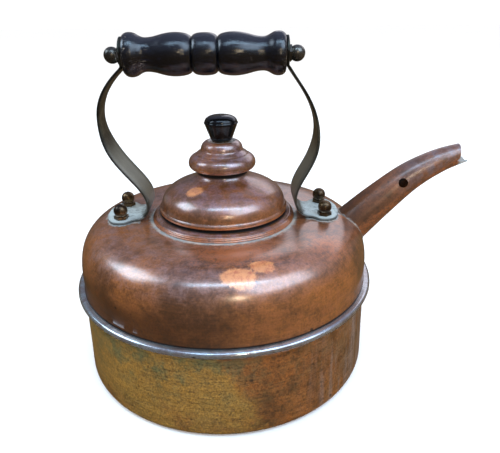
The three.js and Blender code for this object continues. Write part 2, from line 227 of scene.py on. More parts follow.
class Tree:
    """A material's nodes, made one call at a time."""

    def __init__(self, name):
        self.material = bpy.data.materials.new(name)
        self.material.use_nodes = True
        self.nodes = self.material.node_tree.nodes
        self.links = self.material.node_tree.links
        self.shader = self.nodes["Principled BSDF"]

    def feed(self, socket, value):
        if isinstance(value, bpy.types.NodeSocket):
            self.links.new(value, socket)
        elif socket.type == "RGBA":
            socket.default_value = (*value[:3], 1)
        else:
            socket.default_value = value

    def set(self, name, value):
        """Sets or links one of the shader's own sockets."""
        self.feed(self.shader.inputs[name], value)

    def node(self, kind, inputs, output=0, **settings):
        made = self.nodes.new(kind)
        for key, value in settings.items():
            setattr(made, key, value)
        for key, value in inputs.items():
            self.feed(made.inputs[key], value)
        return made.outputs[output]

    def math(self, operation, a, b=0.0, clamped=False):
        return self.node("ShaderNodeMath", {0: a, 1: b}, operation=operation, use_clamp=clamped)

    def times(self, a, b):
        return self.math("MULTIPLY", a, b)

    def plus(self, a, b):
        return self.math("ADD", a, b)

    def mix(self, factor, a, b, blend="MIX"):
        inputs = {0: factor, 6: a, 7: b}
        return self.node("ShaderNodeMix", inputs, output=2, data_type="RGBA", blend_type=blend)

    def blend(self, factor, a, b):
        return self.node("ShaderNodeMix", {0: factor, 2: a, 3: b}, output=0, data_type="FLOAT")

    def place(self, scale=(1, 1, 1), offset=(0, 0, 0)):
        coordinates = self.nodes.new("ShaderNodeTexCoord").outputs["Object"]
        return self.node("ShaderNodeMapping", {"Vector": coordinates, "Scale": scale, "Location": offset})

    def around(self, turn=1.0, rise=1.0):
        """Coordinates that follow a lathe: turns about Z, radius and height."""
        split = self.nodes.new("ShaderNodeSeparateXYZ")
        self.links.new(self.nodes.new("ShaderNodeTexCoord").outputs["Object"], split.inputs[0])
        x, y, z = split.outputs
        squares = self.plus(self.times(x, x), self.times(y, y))
        radius = self.math("SQRT", squares)
        cosine = self.times(self.math("DIVIDE", x, self.math("MAXIMUM", radius, 1e-5)), turn)
        sine = self.times(self.math("DIVIDE", y, self.math("MAXIMUM", radius, 1e-5)), turn)
        height = self.times(self.plus(z, self.times(radius, -1.0)), rise)
        return self.node("ShaderNodeCombineXYZ", {0: cosine, 1: sine, 2: height})

    def noise(self, vector, scale, detail=4.0, rough=0.55, warp=0.0):
        inputs = {"Vector": vector, "Scale": scale, "Detail": detail, "Roughness": rough, "Distortion": warp}
        return self.node("ShaderNodeTexNoise", inputs, output="Fac")

    def cells(self, vector, scale, randomness=1.0, output="Distance", feature="F1"):
        inputs = {"Vector": vector, "Scale": scale, "Randomness": randomness}
        return self.node("ShaderNodeTexVoronoi", inputs, output=output, feature=feature)

    def band(self, value, low, high):
        """0 below low, 1 above high, smooth between."""
        inputs = {"Value": value, 1: low, 2: high}
        return self.node("ShaderNodeMapRange", inputs, interpolation_type="SMOOTHSTEP")

    def field(self, name):
        return self.node("ShaderNodeAttribute", {}, output="Fac", attribute_name=name)

    def waver(self, value, amount):
        """A noise value turned into a push, up or down, of half the amount."""
        return self.times(self.math("SUBTRACT", value, 0.5), amount)

    def bump(self, height, strength, distance, normal=None):
        inputs = {"Height": height, "Strength": strength, "Distance": distance}
        if normal is not None:
            inputs["Normal"] = normal
        return self.node("ShaderNodeBump", inputs)


def rgb(red, green, blue):
    """An sRGB colour, 0 to 255, as linear light."""
    def linear(value):
        value /= 255
        return value / 12.92 if value <= 0.04045 else ((value + 0.055) / 1.055) ** 2.4
    return (linear(red), linear(green), linear(blue))


def patina(tree, here, warm, dark, sky_sheen_and_film, relief):
    """Clouds of warm and dark brown with a pale film that partly paints the sky's sheen, then the shade,
    mottle, grain and lathe lines.
    """
    clouds = tree.noise(here, 26.0, 6.0, 0.62, 0.4)
    mottle = tree.noise(here, 150.0, 5.0, 0.68, 0.3)
    grain = tree.noise(here, 800.0, 4.0, 0.7)
    lines = tree.noise(tree.around(6.0, 900.0), 1.0, 3.0, 0.6)
    tone = tree.plus(tree.times(clouds, 0.6), tree.times(mottle, 0.4))
    colour = tree.mix(tree.band(tone, 0.37, 0.62), dark, warm)
    # The pale film colour: partly a real film, partly a painted sheen of the sky on upper faces and on the
    # left.
    sheen_and_film_cover = tree.plus(0.12, tree.times(tree.field("sky_sheen_and_film"), 0.75))
    colour = tree.mix(tree.times(tree.band(mottle, 0.4, 0.64), sheen_and_film_cover), colour, sky_sheen_and_film)
    shade = tree.plus(1.0, tree.waver(lines, 0.8 * relief))
    shade = tree.plus(shade, tree.waver(grain, 1.8 * relief))
    shade = tree.plus(shade, tree.waver(mottle, 0.9 * relief))
    grey = tree.node("ShaderNodeCombineXYZ", {0: shade, 1: shade, 2: shade})
    return colour, grey, mottle, grain, lines


def stove_stains(tree, here, colour, olive, green):
    """Heat stains: olive, green and grey runs, where the olive, stain and pale film fields are high."""
    blot = tree.noise(here, 30.0, 6.0, 0.72, 0.9)
    lean = tree.plus(tree.field("olive"), tree.waver(blot, 1.5))
    colour = tree.mix(tree.times(tree.band(lean, 0.2, 0.85), 0.85), colour, olive)
    speckle = tree.band(tree.noise(here, 55.0, 6.0, 0.75), 0.42, 0.62)
    patch = tree.times(tree.field("stain"), speckle)
    colour = tree.mix(tree.times(patch, 0.8), colour, green)
    runs = tree.noise(tree.around(16.0, 9.0), 1.0, 4.0, 0.65, 0.4)
    washed = tree.times(tree.band(runs, 0.48, 0.62), tree.field("sky_sheen_and_film"))
    return tree.mix(tree.times(washed, 0.6), colour, rgb(150, 132, 124))


def pit_spots(tree, here, scale, low, size):
    """Round marks on a few random cells: 1 inside, 0 outside."""
    pick = tree.cells(here, scale, output="Color")
    chosen = tree.band(tree.node("ShaderNodeSeparateXYZ", {0: pick}), low, low + 0.04)
    return tree.times(tree.band(tree.cells(here, scale), size, size * 0.5), chosen)


def aged_copper(
    name, warm, dark, sky_sheen_and_film, seed=0.0, dull=0.34, bare=False, stains=None, coat=0.2, relief=1.0,
    metallic=(0.35, 0.6), varnish=0.9,
):
    """Copper under a brown patina: clouds, a film with a painted sky sheen, stains, warm tints with a painted
    warm reflection, rubbed spots, pits, crust with painted highlights, and painted shade and shadow.
    """
    tree = Tree(name)
    here = tree.place(offset=(seed, seed * 0.7, seed * 1.3))
    colour, shade, mottle, grain, lines = patina(tree, here, warm, dark, sky_sheen_and_film, relief)
    if stains:
        colour = stove_stains(tree, here, colour, *stains)
    colour = tree.mix(1.0, colour, shade, "MULTIPLY")
    rough = tree.plus(dull - 0.08, tree.times(mottle, 0.2))
    metal = tree.blend(tree.band(mottle, 0.35, 0.65), *metallic)
    # Warm orange: rubbed copper, and on the shell's front shoulder a painted warm reflection.
    warm_reach = tree.plus(tree.field("warm_rub_and_reflection"), tree.waver(mottle, 1.4))
    warm_reach = tree.plus(warm_reach, tree.waver(grain, 1.6))
    colour = tree.mix(tree.times(tree.band(warm_reach, 0.25, 1.1), 0.8), colour, rgb(190, 104, 40))
    # Dark brown by its field: painted shade low on the shell's wall and on its left, and darker on the
    # spout's upper side near the root.
    colour = tree.mix(tree.times(tree.field("shade_and_smoke"), 0.75), colour, rgb(54, 30, 12))
    flecks = pit_spots(tree, here, 260.0, 0.8, 0.3)
    colour = tree.mix(tree.times(flecks, 0.5), colour, dark)
    if bare:
        edge = tree.plus(tree.field("bare"), tree.waver(mottle, 5.0))
        edge = tree.plus(edge, tree.waver(grain, 2.5))
        rubbed = tree.band(edge, -0.8, 1.3)
        streaks = tree.band(tree.noise(here, 320.0, 4.0, 0.7), 0.4, 0.7)
        bright = tree.mix(streaks, rgb(250, 166, 98), rgb(206, 112, 58))
        colour = tree.mix(tree.times(rubbed, 0.85), colour, bright)
        rough = tree.blend(rubbed, rough, 0.42)
    pits = pit_spots(tree, here, 95.0, 0.84, 0.15)
    colour = tree.mix(tree.times(pits, 0.85), colour, rgb(30, 20, 16))
    # Pale crust by its field; on the lid's ledge above the rim and on the crown's ridge the same pale colour
    # is a painted highlight.
    crust = tree.noise(here, 420.0, 5.0, 0.7)
    reach = tree.plus(tree.field("crust_and_highlight"), tree.waver(crust, 1.3))
    cover = tree.band(reach, 0.4, 0.85)
    tint = tree.mix(tree.band(tree.noise(here, 160.0), 0.4, 0.6), rgb(142, 166, 172), rgb(190, 190, 184))
    colour = tree.mix(tree.times(cover, 0.72), colour, tint)
    rough = tree.blend(cover, rough, 0.7)
    metal = tree.blend(cover, metal, 0.15)
    # Painted shadow: near black in the gaps under the lid rim, the crown and the seam bead, and round the
    # strap feet.
    shade_and_soot = tree.field("shade_and_soot")
    colour = tree.mix(shade_and_soot, colour, rgb(20, 15, 13))
    rough = tree.blend(shade_and_soot, rough, 0.8)
    scratch = tree.noise(tree.place(scale=(60, 900, 2400), offset=(seed, 0, 0)), 1.0, 2.0, 0.5, 0.3)
    dents = tree.noise(here, 55.0, 2.0, 0.5)
    normal = tree.bump(dents, 0.3 * relief, 0.0008)
    waves = tree.plus(lines, tree.times(mottle, 0.8))
    normal = tree.bump(waves, 0.2 * relief, 0.00016, normal)
    marks = tree.plus(grain, tree.band(scratch, 0.68, 0.75))
    normal = tree.bump(marks, 0.2 * relief, 0.00008, normal)
    normal = tree.bump(tree.times(cover, crust), 0.5, 0.0004, normal)
    tree.set("Base Color", colour)
    tree.set("Roughness", rough)
    tree.set("Metallic", metal)
    tree.set("Normal", normal)
    # The coat fades under the painted shadow and the painted shade.
    shade_dulling = tree.math("ADD", shade_and_soot, tree.times(tree.field("shade_and_smoke"), 0.6), clamped=True)
    gloss = tree.times(tree.math("SUBTRACT", 1.0, shade_dulling), varnish)
    tree.set("Coat Weight", gloss)
    tree.set("Coat Roughness", coat)
    tree.set("Coat IOR", 2.3)
    return tree.material


def dull_metal(name, bright, dark, edge=(150, 162, 160), seed=0.0, dull=0.42, coat=0.15):
    """Worn plate or bronze: cloudy tone and fine grain, with film, crust and dark edges by their fields."""
    tree = Tree(name)
    here = tree.place(offset=(seed, seed, seed))
    clouds = tree.noise(here, 70.0, 5.0, 0.6, 0.3)
    fine = tree.noise(here, 700.0, 4.0, 0.65)
    colour = tree.mix(tree.band(clouds, 0.35, 0.68), rgb(*dark), rgb(*bright))
    colour = tree.mix(tree.times(tree.band(fine, 0.5, 0.75), 0.5), colour, rgb(*dark))
    # A pale film by its field, across the lower bow of the straps.
    colour = tree.mix(tree.times(tree.field("sky_sheen_and_film"), 0.75), colour, rgb(182, 182, 168))
    rough = tree.plus(dull, tree.waver(fine, 0.3))
    crust = tree.noise(here, 380.0, 5.0, 0.7)
    reach = tree.plus(tree.field("crust_and_highlight"), tree.waver(crust, 0.9))
    cover = tree.band(reach, 0.4, 0.8)
    colour = tree.mix(tree.times(cover, 0.8), colour, rgb(*edge))
    # Near black by its field, along the strap edges.
    shade_and_soot = tree.field("shade_and_soot")
    colour = tree.mix(shade_and_soot, colour, rgb(22, 20, 18))
    rough = tree.blend(cover, rough, 0.75)
    normal = tree.bump(tree.plus(fine, clouds), 0.22, 0.0002)
    normal = tree.bump(tree.times(cover, crust), 0.5, 0.0004, normal)
    tree.set("Base Color", colour)
    tree.set("Roughness", rough)
    tree.set("Metallic", tree.blend(cover, 0.92, 0.2))
    tree.set("Normal", normal)
    tree.set("Coat Weight", coat)
    tree.set("Coat Roughness", 0.25)
    return tree.material


def black_wood():
    """Black lacquer over a turned grip: long grain, broken gloss, rubbed high spots and a few pale chips."""
    tree = Tree("grip_lacquered_wood")
    here = tree.place()
    grain = tree.noise(tree.place(scale=(90, 800, 800)), 1.0, 5.0, 0.72, 0.6)
    pores = tree.noise(tree.place(scale=(220, 1900, 1900)), 1.0, 3.0, 0.6)
    clouds = tree.noise(here, 60.0, 4.0, 0.6)
    colour = tree.mix(tree.band(grain, 0.5, 0.75), rgb(2, 4, 9), rgb(10, 15, 30))
    wear = tree.plus(tree.times(pores, 0.55), tree.times(clouds, 0.5))
    colour = tree.mix(tree.times(tree.band(wear, 0.65, 0.69), 0.8), colour, rgb(96, 84, 74))
    chips = tree.plus(tree.field("chips"), tree.waver(pores, 2.2))
    colour = tree.mix(tree.times(tree.band(chips, 0.62, 0.8), 0.9), colour, rgb(176, 164, 150))
    tree.set("Base Color", colour)
    tree.set("Roughness", tree.plus(0.2, tree.times(grain, 0.2)))
    normal = tree.bump(grain, 0.25, 0.0005)
    normal = tree.bump(pores, 0.15, 0.0002, normal)
    tree.set("Normal", normal)
    gloss = tree.noise(tree.place(scale=(260, 700, 700)), 1.0, 3.0, 0.6)
    tree.set("Specular IOR Level", 0.12)
    tree.set("Coat Weight", 1.0)
    tree.set("Coat Roughness", tree.blend(tree.band(gloss, 0.45, 0.58), 0.04, 0.24))
    tree.set("Coat IOR", 1.6)
    tree.set("Coat Normal", tree.bump(tree.plus(grain, pores), 0.17, 0.0005))
    return tree.material


def black_gloss():
    """Shiny black lacquer with a thin haze of dust."""
    tree = Tree("knob_black_lacquer")
    here = tree.place()
    haze = tree.noise(here, 220.0, 4.0, 0.6)
    dust = tree.noise(here, 1600.0, 3.0, 0.7)
    colour = tree.mix(tree.band(haze, 0.5, 0.8), rgb(4, 4, 5), rgb(14, 13, 14))
    tree.set("Base Color", colour)
    tree.set("Roughness", tree.plus(0.09, tree.times(dust, 0.14)))
    tree.set("Normal", tree.bump(dust, 0.06, 0.00008))
    tree.set("Specular IOR Level", 0.25)
    tree.set("Coat Weight", 0.3)
    tree.set("Coat Roughness", 0.06)
    return tree.material


# ---------------------------------------------------------------- the pieces


def foot_distance(point, sign):
    """How far a point on the shoulder is outside the outline of a strap's foot, in mm."""
    out = point.x * sign
    half = strap_half_width(clamp(out, FOOT_START + 1, FOOT_END), PLATE_Z)
    return max(abs(point.y) - half, out - FOOT_END, FOOT_START - out)


SPOUT_POINTS = [Vector(p) for p in (
    (80, 0, 84.5), (95.4, 0, 100.1), (110.8, 0, 114.8),
    (130.9, 0, 131.9), (150.1, 0, 142.7), (166.6, 0, 148.4),
)]


def centripetal(points, per_span=40):
    """A smooth line through the points, spaced as a centripetal Catmull-Rom spline."""
    first = points[0] * 2 - points[1]
    last = points[-1] * 2 - points[-2]
    chain = [first] + list(points) + [last]
    line = []
    for p0, p1, p2, p3 in zip(chain, chain[1:], chain[2:], chain[3:]):
        t1 = (p1 - p0).length ** 0.5
        t2 = t1 + (p2 - p1).length ** 0.5
        t3 = t2 + (p3 - p2).length ** 0.5
        for i in range(per_span):
            t = lerp(t1, t2, i / per_span)
            a1 = p0.lerp(p1, t / t1)
            a2 = p1.lerp(p2, (t - t1) / (t2 - t1))
            a3 = p2.lerp(p3, (t - t2) / (t3 - t2))
            b1 = a1.lerp(a2, t / t2)
            b2 = a2.lerp(a3, (t - t1) / (t3 - t1))
            line.append(b1.lerp(b2, (t - t1) / (t2 - t1)))
    return line + [points[-1]]


class Path:
    """A line read by its length: at(t) gives the place and the travel, t from 0 to 1."""

    def __init__(self, line):
        self.line = line
        self.along = [0.0]
        for a, b in zip(line, line[1:]):
            self.along.append(self.along[-1] + (b - a).length)

    def at(self, t):
        want = clamp(t) * self.along[-1]
        i = 0
        while i < len(self.along) - 2 and self.along[i + 1] < want:
            i += 1
        span = self.along[i + 1] - self.along[i]
        place = self.line[i].lerp(self.line[i + 1], (want - self.along[i]) / span)
        low, high = max(i - 1, 0), min(i + 2, len(self.line) - 1)
        return place, (self.line[high] - self.line[low]).normalized()


spout_path = Path(centripetal(SPOUT_POINTS))


def spout_radius(t):
    """The spout's outer radius, tapering from root to tip."""
    return (28.6 - 15.0 * t ** 1.22) / 2


def spout_point(t, angle, inset=0.0):
    """A point on the spout's face, or inset from it; angle 0 is on its underside."""
    place, travel = spout_path.at(t)
    radius = spout_radius(t) - inset
    return station(place, travel)(radius * math.cos(angle), radius * math.sin(angle))


def outside_shell(point):
    """Whether a point is outside the shell's outer face."""
    radius = math.hypot(point.x, point.y)
    return radius > SHELL_RADIUS or point.z > shell_height(radius)


def in_beak_cut(point):
    """Whether a point is in what the beak's cut takes off: the tip ahead of the upper lip."""
    if point.z < 143.6:
        return False
    slant = 159.1 + clamp((point.z - 143.6) / 2.5) * 2.5
    lip = slant if point.z < 146.1 else 161.6 + 0.8 * clamp((point.z - 146.1) / 8)
    return point.x > lip


def first_change(rule, start, end, angle, inset=0.0, steps=240):
    """The first t along a spout line where the rule turns true."""
    for i in range(steps + 1):
        t = lerp(start, end, i / steps)
        if rule(spout_point(t, angle, inset)):
            return t
    return end


def make_spout(material):
    """The spout's tube, from the shell to the cut beak; returns the ring where it meets the shell."""
    around, along = 72, 90
    outer, inner = [], []
    for j in range(around):
        angle = 2 * math.pi * j / around
        root = first_change(outside_shell, 0.0, 0.4, angle) - 0.004
        tip = first_change(in_beak_cut, 0.8, 1.0, angle)
        stops = [lerp(root, tip, i / along) for i in range(along + 1)]
        for inset, column in ((0.0, outer), (SHEET, inner)):
            column.append([spout_point(t, angle, inset) for t in stops])
    rows = [[column[i] for column in outer] for i in range(along + 1)]
    rows += [[column[i] for column in inner] for i in range(along, -1, -1)]
    vertices = [p * MM for row in rows for p in row]
    mesh = mesh_from("spout_tube", vertices, grid_faces(len(rows), around, closed_rows=True))
    ring = [column[0] for column in outer]

    def crust_and_highlight(p):
        near = min((p - q).length for q in ring)
        hole = math.hypot(p.x - SOUND_HOLE_X, p.z - SOUND_HOLE_Z) - SOUND_HOLE_RADIUS
        mouth = 0.9 * ease((p.x - 159.5) / 3) * ease((150 - p.z) / 4)
        return max(0.9 * math.exp(-near / 2.0), mouth, 0.75 * math.exp(-abs(hole) / 0.7))

    def upper(p):
        """1 on the spout's upper half, 0 on its underside."""
        centre = 84.5 + 63.9 * clamp((p.x - 80) / 86.6) ** 0.86
        return ease((p.z - centre) / 5)

    set_field(mesh, "crust_and_highlight", crust_and_highlight)
    # A pale lilac film on the upper side towards the tip, partly a painted sky sheen.
    set_field(mesh, "sky_sheen_and_film", lambda p: 0.95 * upper(p) * ease((p.x - 112) / 30))
    # Darker brown on the upper side towards the root.
    set_field(mesh, "shade_and_smoke", lambda p: 0.6 * upper(p) * ease((122 - p.x) / 30))
    # Warmer orange on the underside.
    set_field(mesh, "warm_rub_and_reflection", lambda p: 0.5 * (1 - upper(p)))
    piece = finish_piece("spout_tube", mesh, material, ["spout"], "kettle", sharp=40)
    cut_side_hole(piece)
    return ring


def cut_side_hole(piece):
    """The round sound hole, drilled through both sides."""
    work = bmesh.new()
    radius = SOUND_HOLE_RADIUS * MM
    bmesh.ops.create_cone(work, cap_ends=True, segments=32, radius1=radius, radius2=radius, depth=60 * MM)
    drill_mesh = bpy.data.meshes.new("drill")
    work.to_mesh(drill_mesh)
    work.free()
    drill = bpy.data.objects.new("drill", drill_mesh)
    bpy.context.scene.collection.objects.link(drill)
    middle = Matrix.Translation(Vector((SOUND_HOLE_X, 0, SOUND_HOLE_Z)) * MM)
    drill.matrix_world = middle @ Matrix.Rotation(math.pi / 2, 4, "X")
    cut = piece.modifiers.new("hole", "BOOLEAN")
    cut.operation = "DIFFERENCE"
    cut.object = drill
    cut.solver = "EXACT"
    bpy.context.view_layer.update()
    done = bpy.data.meshes.new_from_object(piece.evaluated_get(bpy.context.evaluated_depsgraph_get()))
    piece.modifiers.clear()
    piece.data = done
    bpy.data.objects.remove(drill)
    done.set_sharp_from_angle(angle=math.radians(40))


def make_root_seam(ring, material):
    """A thin fillet of solder where the spout meets the shoulder."""
    count, sides, radius = len(ring), 10, 0.75
    vertices = []
    for j, centre in enumerate(ring):
        travel = (ring[(j + 1) % count] - ring[j - 1]).normalized()
        out = Vector((centre.x, centre.y, 0)).normalized() * 0.6 + Vector((0, 0, 0.6))
        side = travel.cross(out).normalized()
        up = side.cross(travel)
        size = radius * (1 + 0.35 * noise.noise(centre * 0.3))
        for k in range(sides):
            angle = 2 * math.pi * k / sides
            vertices.append((centre + side * size * math.cos(angle) + up * size * math.sin(angle)) * MM)
    mesh = mesh_from("spout_solder", vertices, grid_faces(count, sides, closed_rows=True))
    return finish_piece("spout_solder", mesh, material, [], "kettle")


def body_dents(radius, angle, height):
    """The slow unevenness of hand-worked sheet."""
    place = (radius * math.cos(angle), radius * math.sin(angle), height)
    return fair(place, 0.16, 34.0) + fair(place, 0.05, 11.0, 7.0)


def make_shell(copper, root_ring):
    """The wall and shoulder, stained at the collar, the strap feet, the spout and the seam, with painted
    shadow at the seam and round the feet, painted shade low and on the left, a painted warm reflection on the
    front and a painted sky sheen on the shoulder.
    """
    shell = shell_line()
    mesh = lathe("shell_skin", shell + offset_line(shell, SHEET)[::-1], 300, body_dents)

    def spout_distance(p):
        return min((p - q).length for q in root_ring) if p.x > 70 else 40.0

    def crust_and_highlight(p):
        radius = math.hypot(p.x, p.y)
        if p.z < 80:
            return 0.2 * math.exp(-max(p.z - 66.4, 0) / 0.8)
        beyond = max(radius - COLLAR_REACH, 0)
        ring = 0.7 * math.exp(-beyond / 2.6) + 0.34 * math.exp(-beyond / 8)
        gap = max(min(foot_distance(p, s) for s in (-1, 1)), 0)
        feet = 0.62 * math.exp(-gap / 1.2) + 0.58 * math.exp(-gap / 8)
        return max(ring, feet, 0.9 * math.exp(-spout_distance(p) / 2.0))

    # Painted shadow: dark just above the seam roll and round the edges of the strap feet.
    def shade_and_soot(p):
        if p.z < 80:
            return 0.9 * ease((66.6 - p.z) / 0.8)
        gap = min(foot_distance(p, s) for s in (-1, 1))
        return 0.8 * ease((0.2 - gap) / 1.0)

    def bare(p):
        tongue = 8.0 - math.hypot((p.x - 10) / 1.5, (p.y + 88) / 0.85)
        edge = 7.0 - math.hypot((p.x - 23) / 1.3, (p.y + 80) / 0.8)
        return max(tongue, edge) - 1.0 if p.z > 80 else NO_BARE_PATCH

    # Painted warm reflection: orange over the front of the shoulder and a patch towards the spout.
    def warm_rub_and_reflection(p):
        warm = 1.1 - math.hypot((p.x - 8) / 44, (p.y + 66) / 24)
        right = 0.9 - math.hypot((p.x - 62) / 26, (p.y + 52) / 26)
        return clamp(max(warm, right)) if p.z > 84 else 0.0

    # Painted shade: darker low on the left, in the middle of the front wall and towards the seam.
    def shade_and_smoke(p):
        left = ease((20 - p.x) / 90) * ease((92 - p.z) / 16)
        centre = 0.45 * math.exp(-((p.x + 5) / 45) ** 2) * ease((94 - p.z) / 14)
        return clamp(0.9 * left + centre + 0.3 * ease((74 - p.z) / 10))

    set_field(mesh, "crust_and_highlight", crust_and_highlight)
    set_field(mesh, "shade_and_soot", shade_and_soot)
    set_field(mesh, "warm_rub_and_reflection", warm_rub_and_reflection)
    set_field(mesh, "shade_and_smoke", shade_and_smoke)
    # Painted sky sheen: a pale lilac film over the upper shoulder, stronger on the left.
    set_field(mesh, "sky_sheen_and_film", lambda p: ease((p.z - 88) / 12) * (0.6 - 0.45 * ease((p.x - 10) / 60)))
    set_field(mesh, "bare", bare)
    finish_piece("shell_skin", mesh, copper, ["upper_shell"], "kettle")


def make_pan(pan_copper):
    """The lower pan, heat-stained olive on the front and left, with grey runs on the right and a painted
    shadow under the seam.
    """
    pan = pan_line()
    inner = offset_line(pan, SHEET)
    inner[0] = (0, SHEET)

    def flat_base_dents(radius, angle, height):
        return body_dents(radius, angle, height) if height > 3 else 0.0

    mesh = lathe("pan_skin", pan + inner[::-1], 300, flat_base_dents)

    def front_turn(p):
        """The turn from the front, in radians, towards the spout's side."""
        return math.atan2(p.x, -p.y)

    def behind(p):
        """Fades to nothing towards the back, where the two sides meet."""
        return ease((2.9 - abs(front_turn(p))) / 1.1)

    def olive(p):
        edge = 0.06 + 0.36 * clamp(1 - p.z / 60) ** 1.2
        strength = 0.5 + 0.32 * ease((p.z - 4) / 26)
        return ease((edge - front_turn(p)) / 0.22) * behind(p) * strength + 0.1

    def stain(p):
        return clamp(ease((p.z - 18) / 34) * math.exp(-((front_turn(p) + 0.45) / 0.7) ** 2) + 0.15)

    set_field(mesh, "olive", olive)
    set_field(mesh, "stain", stain)
    # A pale film with grey runs on the spout's side.
    set_field(mesh, "sky_sheen_and_film", lambda p: ease((front_turn(p) - 0.35) / 0.6) * behind(p))
    set_field(mesh, "crust_and_highlight", lambda p: 0.55 * math.exp(-max(60.2 - p.z, 0) / 0.8))
    # Painted shadow: dark at the top of the pan, under the seam bead.
    set_field(mesh, "shade_and_soot", lambda p: 0.85 * ease((p.z - 59.4) / 1.2))
    finish_piece("pan_skin", mesh, pan_copper, ["lower_pan"], "kettle")


def make_seam(seam_metal):
    """The rolled seam between the shell and the pan."""
    roll = arc((103.4, SEAM_MIDDLE), SEAM_ROLL, -85, 85, 24)
    bead = [(101.35, 61.0), (103.0, 60.95)] + roll + [(103.0, 65.25), (101.1, 65.25)]

    def waves(radius, angle, height):
        return fair((radius * math.cos(angle), radius * math.sin(angle), height), 0.1, 20.0)

    mesh = lathe("seam_roll", bead, 300, waves)
    # A paler, bluer film towards the left.
    set_field(mesh, "sky_sheen_and_film", lambda p: 0.8 - 0.7 * ease((p.x - 10) / 70))
    finish_piece("seam_roll", mesh, seam_metal, ["seam_bead"], "kettle", sharp=50)


def make_collar(material):
    """The turned ring round the mouth: grooved side, sloping top, short neck under the lid."""
    line = rounded([
        (42.2, 101.6), (43.4, 101.6), (43.4, 106.2), (49.9, 106.2), (49.8, 106.9), (49.45, 107.2),
        (49.6, 107.6), (49.55, 108.2), (49.15, 108.45), (49.05, 109.0), (48.2, 109.6), (47.2, 109.95),
        (46.6, 109.9), (46.2, 110.2), (43.6, 110.6), (43.5, 112.0), (42.2, 112.0),
    ], 0.3, 3)
    mesh = lathe("collar_ring", line, 240)

    def crust_and_highlight(p):
        return 0.7 * math.exp(-max(p.z - 106.2, 0) / 0.4) + 0.25 * ease((-p.x - 20) / 20)

    set_field(mesh, "crust_and_highlight", crust_and_highlight)
    # Painted shadow: near black on the neck, in the gap under the lid's rim.
    set_field(mesh, "shade_and_soot", lambda p: ease((44.8 - math.hypot(p.x, p.y)) / 0.8))
    # Painted sky sheen: a pale film on the sloping top.
    set_field(mesh, "sky_sheen_and_film", lambda p: 0.9 * ease((p.z - 109.2) / 0.5))
    # Warmer orange on the grooved side.
    set_field(mesh, "warm_rub_and_reflection", lambda p: 0.8 * ease((109.3 - p.z) / 0.4))
    set_field(mesh, "bare", lambda p: NO_BARE_PATCH)
    finish_piece("collar_ring", mesh, material, ["lid_collar"], "kettle", sharp=50)


def strap_side_line():
    """A strap's middle line seen from the side: the tab at the grip, the bow, the tuck and the foot."""
    tab_x = GRIP_HALF + 0.3 + STRAP_THICK / 2
    bend_x = 50.6 + (118 - PLATE_Z)
    tab_heights = (225.0, 224.85, 224.4, 223.6, 222.4, 221, 219, 216.5, 214, 211.5, 209, 208.1)
    tab = [(tab_x, z) for z in tab_heights]
    bow = bezier((tab_x, 207.5), (60.2, 197.8), (70.8, 186.6), (70.8, 169), 34)
    tuck = bezier((70.8, 169), (70.8, 144), (49.3, 133), (50.6, 118), 34)[1:]
    turn = arc((bend_x, 118), 118 - PLATE_Z, 180, 270, 14)[1:]
    plate_reach = (61.5, 63, 65, 67, 69, 71, 73, 75, 76.7, 78.1, 79.2, 80.05, 80.6, 80.85)
    plate = [(x, PLATE_Z) for x in plate_reach]
    return tab + bow + tuck + turn + plate


def strap_half_width(x, z):
    """Half a strap's width: a round tab, a waist, and a broad foot with a round end."""
    if z > 214:
        return math.sqrt(max(10.8 ** 2 - (z - ROD_Z) ** 2, 2.5))
    if z > PLATE_Z + 0.01:
        return 14 - 5.4 * ease((z - 150) / 28)
    grow = 14 + 6.5 * ease((x - 60) / 8)
    return grow * math.sqrt(max(1 - clamp((x - 69.2) / 12.0) ** 2.6, 0.03))


def lean(z):
    """How far the handle leans away from the spout at a height."""
    rise = clamp((z - 112) / 94)
    return -8.5 * rise - 5.6 * rise ** 2 * (1 - rise ** 6)


def make_strap(name, sign, material):
    """One bowed strap, swept along its middle line; sign is 1 on the spout's side."""
    line = strap_side_line()
    centres = [Vector((sign * x + lean(z), 0, z)) for x, z in line]
    half, edge, bow = STRAP_THICK / 2, 0.45, 0.25
    vertices = []
    for i, centre in enumerate(centres):
        travel = (centres[min(i + 1, len(centres) - 1)] - centres[max(i - 1, 0)]).normalized()
        place = station(centre, travel)
        width = strap_half_width(*line[i]) + fair(centre, 0.12, 14.0, sign * 3.0)
        face, rim = width - edge * 1.6, width - edge * 0.3
        section = [
            (half, face), (half * 0.55, rim), (-half * 0.55, rim), (-half, face),
            (-half - bow * 0.3, width * 0.5), (-half, 0), (-half - bow * 0.3, -width * 0.5),
            (-half, -face), (-half * 0.55, -rim), (half * 0.55, -rim), (half, -face),
            (half, -width * 0.5), (half, 0), (half, width * 0.5),
        ]
        vertices += [place(a, b) * MM for a, b in section]
    count = len(vertices) // len(centres)
    faces = grid_faces(len(centres), count)
    faces.append(tuple(range(count - 1, -1, -1)))
    last = (len(centres) - 1) * count
    faces.append(tuple(range(last, last + count)))
    mesh = mesh_from(name, vertices, faces)

    def crust_and_highlight(p):
        foot = ease((114 - p.z) / 5) * (0.72 + 0.25 * ease((abs(p.y) - 12) / 6))
        return max(foot, 0.42 * ease((140 - p.z) / 20))

    # Darker along the strap's edges and round the foot.
    def shade_and_soot(p):
        height = PLATE_Z if p.z < 112 else p.z
        rim = abs(p.y) - strap_half_width(min(abs(p.x - lean(p.z)), 80.8), height)
        return 0.75 * ease((rim + 1.2) / 1.0)

    set_field(mesh, "crust_and_highlight", crust_and_highlight)
    set_field(mesh, "shade_and_soot", shade_and_soot)
    # A pale film across the lower bow.
    set_field(mesh, "sky_sheen_and_film", lambda p: 0.85 * ease((168 - p.z) / 26) * ease((p.z - 104) / 20))
    node = "strap_front" if sign > 0 else "strap_rear"
    return finish_piece(name, mesh, material, [node], "kettle", sharp=50)


